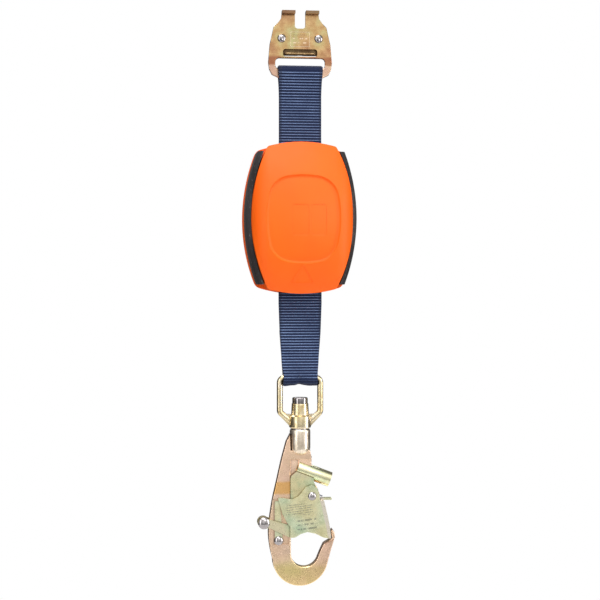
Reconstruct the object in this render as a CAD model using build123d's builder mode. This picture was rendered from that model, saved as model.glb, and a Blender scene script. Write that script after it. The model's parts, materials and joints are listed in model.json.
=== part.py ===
"""Self retracting lifeline: a slotted top connector, an anchor strap, a housing with a spring
drum and a centrifugal brake, a flat lifeline web and a swivelling double-action snap hook.

Millimetres, +Z up with the lifeline hanging, front face towards -Y. The origin is the centre
of the seat of the top connector's U-shaped slot.
"""

from build123d import *
import os
from math import asin, atan2, cos, degrees, radians, sin, sqrt

os.makedirs("parts", exist_ok=True)

# Top connector
PLATE = 3.0
SLOT_HALF = 5.45
SLOT_SEAT_Z = -5.5
BAR_Z = -51.5
WEB_HALF = 22.5

# Anchor strap
STRAP_THICK = 2.6
STRAP_LOOP_R = 5.6

# Housing
DRUM_Z = -202.0
COVER_DEPTH = 43.0
CAVITY_DEPTH = 38.0
DISH_DEPTH = 2.6
DISH_SHIFT = -2.6
CROWN_ALONG = 150.0
CROWN_ACROSS = 200.0
ROLL_FROM_X = 34.0
SIDE_ROLL = 22.4
FRONT_WALL = 4.2
ANCHOR_Z = DRUM_Z + 58.0
ANCHOR_PIN_R = 5.0
FRAME_X = 26.0
FRAME_THICK = 3.0
SCREW_X = 34.0
SCREW_Z = 63.0

# Drum
HUB_R = 14.0
FLANGE_R = 35.5
DRUM_HALF = 23.0
SHAFT_R = 6.0
WEB_THICK = 1.5
WEB_PITCH = 1.6
WEB_HALF_TURNS = 24
RING_R = 33.0
RING_X = 30.6
RING_LONG = 5.6
TEETH = 12
PAWL_PIVOT_R = 15.0
ROLLER_R = 4.0
ROLLER_Z = DRUM_Z - 60.0
FRONT_ROLLER_Y = -6.2
REAR_ROLLER_Y = 4.6

# Lifeline web
WEB_CENTRE_Y = -WEB_THICK / 2
BEND_Z = DRUM_Z - 58.5
EYE_BAR_Z = -366.4
EYE_WEB_HALF = 17.6
SLEEVE_R = 5.5
SLEEVE_THICK = 1.2

# Swivel eye and hook
WIRE_R = 3.1
COLLAR_TOP_Z = -393.0
COLLAR_STEP_Z = -404.7
COLLAR_END_Z = -418.4
STEM_R = 5.0
BARREL_R = 10.7
BARREL_TOP_Z = -419.3
BARREL_END_Z = -446.7
HOOK_HALF = 6.0
LUG_HALF = 4.2
POCKET_HALF = 2.0
PIVOT_A = (11.6, -487.9)
PIVOT_B = (-38.0, -515.4)
PIVOT_C = (-22.6, -533.7)
LEVER_IN = 6.2
LEVER_OUT = 7.8
GATE_IN = 8.0
GATE_OUT = 9.8
ROLL_START = (-2.7, -459.0)
ROLL_END = (30.9, -471.9)
ROLL_R = 7.75
SPRING_R = 5.2

FRONT = Plane(origin=(0, 0, DRUM_Z), x_dir=(1, 0, 0), z_dir=(0, -1, 0))
REAR = Plane(origin=(0, 0, DRUM_Z), x_dir=(-1, 0, 0), z_dir=(0, 1, 0))
SIDE = Plane(origin=(0, 0, DRUM_Z), x_dir=(0, 1, 0), z_dir=(1, 0, 0))


def disc(x_from, x_to, radius, hole=0.0, y=0.0, z=0.0, mode=Mode.ADD):
    """A round solid along X about a line (y, z) counted from the drum axis."""
    with BuildSketch(SIDE.offset(x_from)) as face:
        with Locations((y, z)):
            Circle(radius)
            if hole:
                Circle(hole, mode=Mode.SUBTRACT)
    extrude(face.sketch, amount=x_to - x_from, mode=mode)


def pin_through(centre, radius, y_from, y_to, mode=Mode.ADD):
    """A round solid along Y at centre = (x, z)."""
    with BuildSketch(Plane.XZ.offset(-y_to)) as face:
        with Locations(centre):
            Circle(radius)
    extrude(face.sketch, amount=y_to - y_from, mode=mode)


def barrel(side_mid, side_end, top_mid, top_end, corner):
    """A closed outline of four bowed sides about the origin."""
    with BuildLine() as edge:
        ThreePointArc((-side_end, top_end), (0, top_mid), (side_end, top_end))
        ThreePointArc((side_end, top_end), (side_mid, 0), (side_end, -top_end))
        ThreePointArc((side_end, -top_end), (0, -top_mid), (-side_end, -top_end))
        ThreePointArc((-side_end, -top_end), (-side_mid, 0), (-side_end, top_end))
    outline = make_face(edge.edges())
    if corner:
        fillet(outline.vertices(), corner)


def crown(depth, facing, mode=Mode.INTERSECT):
    """Cuts what is being built to a face bowed both ways, depth from the drum axis."""
    reach = 90.0
    drop = CROWN_ALONG - sqrt(CROWN_ALONG**2 - reach**2)
    edge = facing * (depth - drop)
    axis_y = facing * (depth - CROWN_ACROSS)
    with BuildSketch(SIDE) as section:
        with BuildLine():
            ThreePointArc((edge, reach), (facing * depth, 0), (edge, -reach))
            Polyline((edge, -reach), (axis_y, -reach), (axis_y, reach), (edge, reach))
        make_face()
    revolve(section.sketch, axis=Axis((0, axis_y, DRUM_Z), (0, 0, 1)), mode=mode)


def front_block(inset, flare_x=0.0):
    """Cuts what is being built to the front's section, flat with rolled sides, inset all round.

    The section is turned about a line behind the drum. A flare leaves the roll at flare_x and
    runs outward, which is how the bumpers continue past the cover's edge.
    """
    lean = asin(ROLL_FROM_X / CROWN_ACROSS)
    across = CROWN_ACROSS - inset
    roll = SIDE_ROLL - inset
    middle_y = CROWN_ACROSS - COVER_DEPTH
    start = (across * sin(lean), middle_y - across * cos(lean))
    centre = (start[0] - roll * sin(lean), start[1] + roll * cos(lean))
    last = asin((flare_x - centre[0]) / roll) if flare_x else radians(90)
    half = (lean + last) / 2
    via = (centre[0] + roll * sin(half), centre[1] - roll * cos(half))
    end = (centre[0] + roll * sin(last), centre[1] - roll * cos(last))
    outer = [(59.0, end[1] + 8.0)] if flare_x else []
    outer.append((59.0 if flare_x else end[0], 30.0))
    with BuildSketch(Plane.XY.offset(DRUM_Z)) as section:
        with BuildLine():
            ThreePointArc((-start[0], start[1]), (0, middle_y - across), start)
            ThreePointArc(start, via, end)
            ThreePointArc((-start[0], start[1]), (-via[0], via[1]), (-end[0], end[1]))
            mirrored = [(-x, y) for x, y in reversed(outer)]
            Polyline(end, *outer, *mirrored, (-end[0], end[1]))
        make_face()
    turn_y = CROWN_ALONG - COVER_DEPTH
    revolve(section.sketch, axis=Axis((0, turn_y, DRUM_Z), (1, 0, 0)), mode=Mode.INTERSECT)


def spiral(first_radius, pitch, thick, half_turns):
    """A flat spiral band of half circles about the origin, first_radius at its inner face."""
    with BuildLine() as edge:
        for k in range(half_turns):
            centre = (0, 0) if k % 2 == 0 else (pitch / 2, 0)
            start = 0 if k % 2 == 0 else 180
            radius = first_radius + k * pitch / 2
            CenterArc(centre, radius, start, 180)
            CenterArc(centre, radius + thick, start, 180)
        Line((first_radius, 0), (first_radius + thick, 0))
        last_radius = first_radius + half_turns * pitch / 2
        Line((last_radius, 0), (last_radius + thick, 0))
    make_face(edge.edges())


def loop_strap(top_z, bottom_z, inner_r, thick, gather):
    """The side profile of a strap sewn into a loop round a bar at each end."""
    with BuildSketch(Plane.YZ) as profile:
        with Locations((0, (top_z + bottom_z) / 2)):
            Rectangle(2 * thick, top_z - bottom_z - 2 * gather)
        for end_z, mid_z in ((top_z, top_z - gather), (bottom_z, bottom_z + gather)):
            add(teardrop(end_z, inner_r + thick, mid_z, thick))
            add(teardrop(end_z, inner_r, mid_z, 0.15), mode=Mode.SUBTRACT)
    return profile.sketch_local


def teardrop(big_z, big_r, small_z, small_r):
    """The hull of two circles on the Z axis, drawn on the side plane."""
    with BuildSketch(Plane.YZ, mode=Mode.PRIVATE) as drop:
        with Locations((0, big_z)):
            Circle(big_r)
        with Locations((0, small_z)):
            Circle(small_r)
        make_hull()
    return drop.sketch_local


# ---------------------------------------------------------------- top connector
CONNECTOR_OUTLINE = [
    (19.2, 9.5), (19.6, 5.0), (22.4, 1.0), (27.5, -4.0), (29.7, -14.0), (31.6, -22.0),
    (33.2, -41.0), (32.2, -48.0), (29.4, -53.6), (23.0, -56.5),
]

with BuildPart() as connector_plate:
    with BuildSketch(Plane.XZ) as plate_face:
        right = CONNECTOR_OUTLINE
        left = [(-x, z) for x, z in reversed(right)]
        with BuildLine():
            Polyline(*right, *left, close=True)
        make_face()
        fillet(plate_face.vertices().filter_by_position(Axis.Y, -57, -3), 3.0)
        with Locations((0, SLOT_SEAT_Z + 12)):
            Rectangle(2 * SLOT_HALF, 24, mode=Mode.SUBTRACT)
        with Locations((0, -30.6)):
            RectangleRounded(35.6, 7.7, 2.5, mode=Mode.SUBTRACT)
        with Locations((0, -41.8)):
            RectangleRounded(51.4, 10.8, 4.0, mode=Mode.SUBTRACT)
    extrude(amount=PLATE / 2, both=True)
    slot_corners = connector_plate.edges().filter_by(Axis.Y)
    slot_corners = slot_corners.filter_by_position(Axis.Z, SLOT_SEAT_Z - 0.1, SLOT_SEAT_Z + 0.1)
    fillet(slot_corners, 3.0)
    lip_mid = (SLOT_HALF + 19.2) / 2
    with Locations((-lip_mid, -3.5, 10.6), (lip_mid, -3.5, 10.6)):
        Box(19.2 - SLOT_HALF, 10.0, PLATE)
    lip_edges = connector_plate.edges().filter_by(Axis.X)
    lip_edges = lip_edges.filter_by_position(Axis.Z, 12.0, 12.2)
    fillet(lip_edges.filter_by_position(Axis.Y, 1.4, 1.6), 2.4)
    rivet_holes = ((-19.2, -15.7), (19.2, -15.7))
    for hole in rivet_holes:
        pin_through(hole, 2.55, -2, 2, Mode.SUBTRACT)
    bar_edges = connector_plate.edges().filter_by(Axis.X)
    fillet(bar_edges.filter_by_position(Axis.Z, -57.0, -47.0), 1.0)

with BuildPart() as connector_backplate:
    with BuildSketch(Plane.XZ.offset(-3.7)):
        with Locations((0, -20.5)):
            RectangleRounded(50.0, 25.0, 4.0)
    extrude(amount=2.1)
    pin_through((0, -32.4), 2.6, 1.6, 3.7, Mode.SUBTRACT)
    with BuildSketch(Plane.YZ.offset(-17.0)):
        with Locations((3.4, -31.0)):
            Circle(1.8)
    extrude(amount=34.0)
    for hole in rivet_holes:
        pin_through(hole, 2.55, 1, 4, Mode.SUBTRACT)

with BuildPart() as connector_rivets:
    for hole in rivet_holes:
        pin_through(hole, 2.5, -1.55, 3.75)
        pin_through(hole, 4.6, -3.4, -1.55)
        pin_through(hole, 4.6, 3.75, 5.2)
    domes = connector_rivets.edges().filter_by(GeomType.CIRCLE)
    fillet(domes.filter_by_position(Axis.Y, -3.45, -3.35), 1.5)
    fillet(domes.filter_by_position(Axis.Y, 5.15, 5.25), 1.1)

# ---------------------------------------------------------------- anchor strap
with BuildPart() as anchor_strap:
    with BuildSketch(Plane.YZ):
        add(loop_strap(BAR_Z, ANCHOR_Z, STRAP_LOOP_R, STRAP_THICK, 24.0))
    extrude(amount=WEB_HALF, both=True)

# ---------------------------------------------------------------- housing shell
DISH_OUTER = Plane(origin=(0, -44.0, DRUM_Z + DISH_SHIFT), x_dir=(1, 0, 0), z_dir=(0, -1, 0))
DISH_INNER = Plane(origin=(0, -30.0, DRUM_Z + DISH_SHIFT), x_dir=(1, 0, 0), z_dir=(0, -1, 0))

with BuildPart() as front_dish:
    with BuildSketch(DISH_INNER):
        barrel(30.6, 26.6, 40.2, 36.2, 17.0)
    with BuildSketch(DISH_OUTER):
        barrel(41.8, 37.8, 51.4, 47.4, 27.0)
    loft()
    crown(COVER_DEPTH - DISH_DEPTH, -1, Mode.SUBTRACT)

with BuildPart() as badge_recesses:
    with BuildSketch(FRONT.offset(30.0)):
        with Locations((-3.3, -2.6)):
            RectangleRounded(17.0, 30.0, 2.0)
        with Locations((15.0, -2.6)):
            RectangleRounded(16.0, 30.0, 2.0)
    extrude(amount=30.0)
    crown(COVER_DEPTH - DISH_DEPTH - 0.3, -1, Mode.SUBTRACT)

with BuildPart() as warning_triangle:
    with BuildSketch(FRONT.offset(20.0)):
        with Locations((0.0, -60.5)):
            Triangle(a=25.0, b=24.0, c=24.0)
            Triangle(a=21.4, b=20.5, c=20.5, mode=Mode.SUBTRACT)
    extrude(amount=40.0)
    crown(COVER_DEPTH + 0.4, -1)


def cover_screw_points():
    return [(x, z) for x in (-SCREW_X, SCREW_X) for z in (-SCREW_Z, SCREW_Z)]


def cover_openings():
    """The strap slot in the top and the line slot in the bottom of a cover."""
    with Locations((0, 0, DRUM_Z + 74)):
        Box(55.6, 22.6, 14, mode=Mode.SUBTRACT)
    with Locations((0, 0, DRUM_Z - 74)):
        Box(54.6, 13.6, 14, mode=Mode.SUBTRACT)


with BuildPart() as front_cavity:
    with BuildSketch(FRONT):
        barrel(49.0, 32.4, 74.5, 70.5, 4.0)
    extrude(amount=COVER_DEPTH + 10)
    front_block(FRONT_WALL)

with BuildPart() as front_bosses:
    with BuildSketch(FRONT):
        with Locations(*cover_screw_points()):
            Circle(3.5)
    extrude(amount=COVER_DEPTH)
    crown(CAVITY_DEPTH + 1.0, -1)

with BuildPart() as front_cover:
    with BuildSketch(FRONT):
        barrel(52.0, 35.0, 77.5, 72.8, 3.0)
    extrude(amount=COVER_DEPTH + 10)
    front_block(0.0)
    add(front_dish.part, mode=Mode.SUBTRACT)
    central = front_cover.faces().filter_by(lambda f: abs(f.center().X) < 1 and f.center().Y < -36)
    dish_floor = central.sort_by(SortBy.AREA)[0]
    fillet(dish_floor.edges(), 2.0)
    add(badge_recesses.part, mode=Mode.SUBTRACT)
    add(warning_triangle.part)
    add(front_cavity.part, mode=Mode.SUBTRACT)
    add(front_bosses.part)
    with BuildSketch(FRONT):
        with Locations(*cover_screw_points()):
            Circle(2.1)
    extrude(amount=12.0, mode=Mode.SUBTRACT)
    cover_openings()

with BuildPart() as rear_cavity:
    with BuildSketch(REAR):
        barrel(49.0, 32.4, 74.5, 70.5, 4.0)
    extrude(amount=COVER_DEPTH + 10)
    crown(CAVITY_DEPTH, 1)

with BuildPart() as rear_bosses:
    with BuildSketch(REAR.offset(0.2)):
        with Locations(*cover_screw_points()):
            Circle(4.4)
    extrude(amount=COVER_DEPTH)
    crown(CAVITY_DEPTH + 1.0, 1)

with BuildPart() as rear_cover:
    with BuildSketch(REAR.offset(0.2)):
        barrel(52.0, 35.0, 77.5, 72.8, 3.0)
    extrude(amount=8.0)
    with BuildSketch(REAR.offset(8.0)):
        barrel(58.0, 45.0, 77.7, 70.4, 9.0)
    extrude(amount=COVER_DEPTH + 10)
    crown(COVER_DEPTH, 1)
    face_edges = rear_cover.faces().sort_by(Axis.Y)[-1].edges()
    fillet(face_edges, 3.0)
    add(rear_cavity.part, mode=Mode.SUBTRACT)
    add(rear_bosses.part)
    with BuildSketch(REAR):
        with Locations(*cover_screw_points()):
            Circle(2.2)
    extrude(amount=60.0, mode=Mode.SUBTRACT)
    with BuildSketch(REAR.offset(9.0)):
        with Locations(*cover_screw_points()):
            Circle(3.7)
    extrude(amount=60.0, mode=Mode.SUBTRACT)
    cover_openings()

with BuildPart() as cover_screws:
    with BuildSketch(REAR.offset(-10.0)):
        with Locations(*cover_screw_points()):
            Circle(2.0)
    extrude(amount=19.2)
    with BuildSketch(REAR.offset(9.2)):
        with Locations(*cover_screw_points()):
            Circle(3.5)
            RegularPolygon(1.5, 6, mode=Mode.SUBTRACT)
    extrude(amount=3.0)
    with BuildSketch(REAR.offset(9.2)):
        with Locations(*cover_screw_points()):
            Circle(3.4)
    extrude(amount=1.0)


def bumper(side):
    """One rubber side bumper, between the covers' bowed sides and the housing's outline."""
    with BuildSketch(FRONT) as outline:
        barrel(58.0, 45.0, 77.5, 69.5, 9.0)
        with Locations((side * 50, 0)):
            Rectangle(60, 136, mode=Mode.INTERSECT)
    extrude(outline.sketch, amount=COVER_DEPTH)
    extrude(outline.sketch, amount=-7.8)
    with BuildSketch(FRONT) as covers:
        barrel(52.4, 32.0, 90.0, 82.7, 0)
    extrude(covers.sketch, amount=COVER_DEPTH + 5, both=True, mode=Mode.SUBTRACT)
    side_radius = 192.3
    with BuildSketch(Plane.XY.offset(DRUM_Z)) as bulge:
        with BuildLine():
            ThreePointArc((side * 53.0, -33.0), (side * 58.0, 0), (side * 53.0, 33.0))
            Polyline(
                (side * 53.0, 33.0), (side * 46.0, 39.0), (side * 20.0, 39.0),
                (side * 20.0, -39.0), (side * 46.0, -39.0), (side * 53.0, -33.0),
            )
        make_face()
    turn_axis = Axis((side * (58.0 - side_radius), 0, DRUM_Z), (0, 1, 0))
    revolve(bulge.sketch, axis=turn_axis, mode=Mode.INTERSECT)
    front_block(1.2, flare_x=50.5)


with BuildPart() as left_bumper:
    bumper(-1)

with BuildPart() as right_bumper:
    bumper(1)

with BuildPart() as strap_guide:
    with BuildSketch(Plane.XY.offset(DRUM_Z + 68.3)):
        RectangleRounded(55.2, 22.2, 3.0)
        RectangleRounded(48.6, 17.6, 2.0, mode=Mode.SUBTRACT)
    extrude(amount=6.1)
    rims = strap_guide.faces().sort_by(Axis.Z)[-1].edges()
    fillet(rims, 0.8)

with BuildPart() as line_guide:
    with BuildSketch(Plane.XY.offset(DRUM_Z - 74.4)):
        RectangleRounded(54.2, 13.2, 3.0)
        RectangleRounded(47.4, 8.4, 2.0, mode=Mode.SUBTRACT)
    extrude(amount=6.1)
    rims = line_guide.faces().sort_by(Axis.Z)[0].edges()
    fillet(rims, 0.8)

# ---------------------------------------------------------------- load frame
SPACERS = [(y, z) for y in (-24.0, 24.0) for z in (-46.0, 46.0)]
BRAKE_BOLTS = [(26.9 * a, 26.9 * b) for a in (-1, 1) for b in (-1, 1)]
ROLLERS = [(FRONT_ROLLER_Y, ROLLER_Z - DRUM_Z), (REAR_ROLLER_Y, ROLLER_Z - DRUM_Z)]


def frame_plate(x_from):
    """A side plate of the load frame, with bores for the shaft, anchor pin and rollers."""
    with BuildSketch(SIDE.offset(x_from)) as face:
        with BuildLine() as edge:
            Polyline(
                (-12, 68), (12, 68), (31.5, 31), (31.5, -31), (12, -68), (-12, -68),
                (-31.5, -31), (-31.5, 31), close=True,
            )
        make_face()
        fillet(face.vertices(), 5.0)
        Circle(9.05, mode=Mode.SUBTRACT)
        with Locations((0, ANCHOR_Z - DRUM_Z)):
            Circle(ANCHOR_PIN_R + 0.05, mode=Mode.SUBTRACT)
        with Locations(*ROLLERS):
            Circle(1.55, mode=Mode.SUBTRACT)
        with Locations(*SPACERS):
            Circle(1.6, mode=Mode.SUBTRACT)
    extrude(face.sketch, amount=FRAME_THICK)


with BuildPart() as left_frame_plate:
    frame_plate(-FRAME_X - FRAME_THICK)

with BuildPart() as right_frame_plate:
    frame_plate(FRAME_X)
    for y, z in BRAKE_BOLTS:
        disc(FRAME_X - 1, FRAME_X + 4, 1.6, y=y, z=z, mode=Mode.SUBTRACT)

with BuildPart() as frame_spacers:
    for y, z in SPACERS:
        disc(-FRAME_X + 0.02, FRAME_X - 0.02, 3.0, y=y, z=z)
        disc(-FRAME_X - 4.2, -FRAME_X - 3.05, 2.6, y=y, z=z)
        disc(FRAME_X + 3.05, FRAME_X + 4.2, 2.6, y=y, z=z)
        disc(-FRAME_X - 3.1, FRAME_X + 3.1, 1.5, y=y, z=z)

with BuildPart() as anchor_pin:
    disc(-29.4, 29.4, ANCHOR_PIN_R, z=ANCHOR_Z - DRUM_Z)

with BuildPart() as anchor_sleeve:
    disc(-25.6, 25.6, 5.5, 5.1, z=ANCHOR_Z - DRUM_Z)

with BuildPart() as shaft_bushes:
    disc(-FRAME_X - 3.0, -FRAME_X + 0.1, 9.0, SHAFT_R + 0.05)
    disc(FRAME_X - 0.1, FRAME_X + 3.0, 9.0, SHAFT_R + 0.05)

with BuildPart() as roller_pins:
    for y, z in ROLLERS:
        disc(-29.5, 29.5, 1.5, y=y, z=z)

with BuildPart() as front_roller:
    disc(-25.4, 25.4, ROLLER_R, 1.55, y=FRONT_ROLLER_Y, z=ROLLER_Z - DRUM_Z)

with BuildPart() as rear_roller:
    disc(-25.4, 25.4, ROLLER_R, 1.55, y=REAR_ROLLER_Y, z=ROLLER_Z - DRUM_Z)

# ---------------------------------------------------------------- drum
with BuildPart() as drum:
    disc(-DRUM_HALF, DRUM_HALF, HUB_R, SHAFT_R + 0.02)
    disc(-DRUM_HALF - 1.6, -DRUM_HALF, FLANGE_R, SHAFT_R + 0.02)
    disc(-DRUM_HALF - 2.4, -DRUM_HALF - 1.6, 10.0, SHAFT_R + 0.02)
    disc(-DRUM_HALF - 3, DRUM_HALF + 1, 2.05, y=0, z=10.4, mode=Mode.SUBTRACT)

with BuildPart() as drum_flange:
    disc(DRUM_HALF + 0.02, DRUM_HALF + 1.6, FLANGE_R, SHAFT_R + 0.02)
    disc(DRUM_HALF + 1.6, DRUM_HALF + 2.4, 10.0, SHAFT_R + 0.02)
    disc(DRUM_HALF - 1, DRUM_HALF + 3, 2.05, y=0, z=10.4, mode=Mode.SUBTRACT)

with BuildPart() as web_retaining_pin:
    disc(-DRUM_HALF - 1.6, DRUM_HALF + 1.6, 2.0, y=0, z=10.4)

with BuildPart() as drum_shaft:
    disc(-39.4, 37.0, SHAFT_R)
    shaft_ends = drum_shaft.faces().filter_by(Axis.X).edges()
    fillet(shaft_ends, 0.8)

with BuildPart() as wound_webbing:
    with BuildSketch(SIDE):
        spiral(HUB_R + 0.2, WEB_PITCH, WEB_THICK - 0.05, WEB_HALF_TURNS)
    extrude(amount=WEB_HALF, both=True)

# ---------------------------------------------------------------- recoil spring, left side
with BuildPart() as spring_cup:
    disc(-39.6, -29.2, 32.5, 31.4)
    disc(-30.2, -29.2, 32.5, 9.6)

with BuildPart() as spring_cover:
    disc(-41.0, -39.7, 32.5)

with BuildPart() as spring_arbor:
    disc(-39.0, -30.6, 8.0, SHAFT_R + 0.02)

with BuildPart() as recoil_spring:
    with BuildSketch(SIDE.offset(-38.6)):
        spiral(8.1, 1.7, 0.6, 26)
    extrude(amount=7.8)

# ---------------------------------------------------------------- brake, right side
NOTCH_IN = 24.9
NOTCH_OUT = 28.5
NOTCH_MID = 47.0
NOTCH_WIDE = 19.5

with BuildPart() as ratchet_ring:
    disc(RING_X, RING_X + RING_LONG, RING_R, NOTCH_IN)
    with BuildSketch(SIDE.offset(RING_X)):
        for k in range(TEETH):
            low = NOTCH_MID - NOTCH_WIDE / 2 + k * 360 / TEETH
            corners = []
            for angle, r in ((low, 22.0), (low, NOTCH_OUT), (low + NOTCH_WIDE, NOTCH_OUT),
                             (low + NOTCH_WIDE, 22.0)):
                corners.append((r * cos(radians(angle)), r * sin(radians(angle))))
            with BuildLine():
                Polyline(*corners, close=True)
            make_face()
    extrude(amount=RING_LONG, mode=Mode.SUBTRACT)

with BuildPart() as friction_discs:
    disc(29.15, 30.5, 32.6, 26.0)
    disc(RING_X + RING_LONG + 0.1, RING_X + RING_LONG + 1.3, 32.6, 29.2)

with BuildPart() as pressure_plate:
    x_plate = RING_X + RING_LONG + 1.4
    disc(x_plate, x_plate + 1.6, RING_R, 12.0)
    for y, z in BRAKE_BOLTS:
        disc(x_plate, x_plate + 1.6, 4.0, y=y, z=z)
        with BuildSketch(SIDE.offset(x_plate)):
            with Locations(Location((y * 0.8, z * 0.8, 0), degrees(atan2(z, y)))):
                Rectangle(12, 8)
        extrude(amount=1.6)
    for y, z in BRAKE_BOLTS:
        disc(x_plate - 1, x_plate + 3, 1.65, y=y, z=z, mode=Mode.SUBTRACT)

with BuildPart() as brake_bolts:
    for y, z in BRAKE_BOLTS:
        disc(FRAME_X - 0.05, x_plate + 2.6, 1.5, y=y, z=z)
        disc(x_plate + 2.6, x_plate + 3.4, 2.4, y=y, z=z)

with BuildPart() as brake_springs:
    for y, z in BRAKE_BOLTS:
        disc(x_plate + 1.65, x_plate + 2.05, 2.9, 1.55, y=y, z=z)
        disc(x_plate + 2.1, x_plate + 2.5, 2.9, 1.55, y=y, z=z)

with BuildPart() as pawl_plate:
    disc(29.3, 31.2, 21.0, SHAFT_R + 0.02)
    for side in (-1, 1):
        disc(29.0, 32.0, 1.95, z=side * PAWL_PIVOT_R, mode=Mode.SUBTRACT)

with BuildPart() as pawl_pins:
    for side in (-1, 1):
        disc(29.3, 36.6, 1.9, z=side * PAWL_PIVOT_R)

PAWL_OUTLINE = [
    (0.0, -4.0), (14.0, -4.2), (18.3, -2.6), (18.6, 0.6), (14.0, 3.0), (6.0, 4.2), (0.0, 4.0),
]


def pawl(side):
    """A hooked pawl on its pin, its tip just inside the ring's teeth at rest."""
    with BuildSketch(SIDE.offset(31.4)) as face:
        with BuildLine():
            Polyline(*[(side * y, side * (PAWL_PIVOT_R + z)) for y, z in PAWL_OUTLINE], close=True)
        make_face()
        with Locations((0, side * PAWL_PIVOT_R)):
            Circle(4.0)
            Circle(2.0, mode=Mode.SUBTRACT)
    extrude(face.sketch, amount=4.4)


with BuildPart() as upper_pawl:
    pawl(1)

with BuildPart() as lower_pawl:
    pawl(-1)

with BuildPart() as pawl_springs:
    for side in (-1, 1):
        disc(35.9, 36.5, 3.0, 2.0, z=side * PAWL_PIVOT_R)

# ---------------------------------------------------------------- lifeline web
wound_r = HUB_R + 0.2 + WEB_HALF_TURNS * WEB_PITCH / 2 + WEB_THICK + 0.8
bend_rel = BEND_Z - DRUM_Z
reach = sqrt(WEB_CENTRE_Y**2 + bend_rel**2)
lean = asin(wound_r / reach) - atan2(WEB_CENTRE_Y, -bend_rel)
run = sqrt(reach**2 - wound_r**2)
TANGENT = (WEB_CENTRE_Y + run * sin(lean), BEND_Z + run * cos(lean))

with BuildPart() as lifeline_webbing:
    with BuildSketch(Plane.YZ):
        with BuildLine():
            FilletPolyline(
                (WEB_CENTRE_Y, -346.0), (WEB_CENTRE_Y, BEND_Z), TANGENT, radius=6.0
            )
            offset(amount=WEB_THICK / 2, side=Side.BOTH)
        make_face()
        with Locations((0, -331.0)):
            Rectangle(2 * WEB_THICK, 30.0)
        add(teardrop(EYE_BAR_Z, SLEEVE_R + SLEEVE_THICK + WEB_THICK, -346.0, WEB_THICK))
        add(teardrop(EYE_BAR_Z, SLEEVE_R + SLEEVE_THICK, -346.0, 0.1), mode=Mode.SUBTRACT)
    extrude(amount=WEB_HALF, both=True)
    with BuildSketch(Plane.XZ):
        for side in (-1, 1):
            with BuildLine():
                Polyline(
                    (side * 40, -290), (side * 22.5, -290), (side * 21.2, -320),
                    (side * 18.6, -350), (side * EYE_WEB_HALF, -362),
                    (side * EYE_WEB_HALF, -390), (side * 40, -390), close=True,
                )
            make_face()
    extrude(amount=30, both=True, mode=Mode.SUBTRACT)

with BuildPart() as wear_sleeve:
    with BuildSketch(Plane.YZ):
        add(teardrop(EYE_BAR_Z, SLEEVE_R + SLEEVE_THICK - 0.05, -354.0, 2.6))
        add(teardrop(EYE_BAR_Z, SLEEVE_R, -354.0, 1.4), mode=Mode.SUBTRACT)
        with Locations((0, -352.2)):
            Rectangle(20, 6, mode=Mode.SUBTRACT)
    extrude(amount=EYE_WEB_HALF, both=True)

# ---------------------------------------------------------------- swivel eye
with BuildPart() as swivel_eye:
    with BuildLine(Plane.XZ) as bail_path:
        FilletPolyline(
            (8.0, -413.0), (21.0, -401.8), (21.0, EYE_BAR_Z), (-21.0, EYE_BAR_Z),
            (-21.0, -401.8), (-8.0, -413.0), radius=5.0,
        )
    leg = bail_path.wire()
    with BuildSketch(Plane(origin=leg @ 0, x_dir=(0, 1, 0), z_dir=leg % 0)):
        Circle(WIRE_R)
    sweep(path=leg)
    with BuildSketch(Plane.XZ):
        with BuildLine():
            Polyline(
                (0, COLLAR_TOP_Z), (8.6, COLLAR_TOP_Z), (9.2, COLLAR_STEP_Z), (11.35, -406.0),
                (11.35, -417.0), (10.2, COLLAR_END_Z), (0, COLLAR_END_Z), close=True,
            )
        make_face()
    revolve(axis=Axis.Z)
    with BuildSketch(Plane.XZ):
        for side in (-1, 1):
            with BuildLine():
                Polyline(
                    (side * 8, -404), (side * 18.6, -403.4), (side * 21, -405.6),
                    (side * 11, -416.2), (side * 8, -416.2), close=True,
                )
            make_face()
    extrude(amount=2.2, both=True)
    with BuildSketch(Plane.XY.offset(COLLAR_END_Z - 1)):
        Circle(STEM_R + 0.06)
    extrude(amount=30, mode=Mode.SUBTRACT)

with BuildPart() as swivel_pin:
    with BuildSketch(Plane.XY.offset(-440.0)):
        Circle(STEM_R)
    extrude(amount=440.0 + COLLAR_TOP_Z + 0.1)
    with BuildSketch(Plane.XY.offset(COLLAR_TOP_Z + 0.1)):
        Circle(8.0)
    extrude(amount=6.3)
    fillet(swivel_pin.faces().sort_by(Axis.Z)[-1].edges(), 1.2)

with BuildPart() as swivel_washer:
    with BuildSketch(Plane.XY.offset(-419.2)):
        Circle(9.4)
        Circle(STEM_R + 0.06, mode=Mode.SUBTRACT)
    extrude(amount=0.7)

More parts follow.
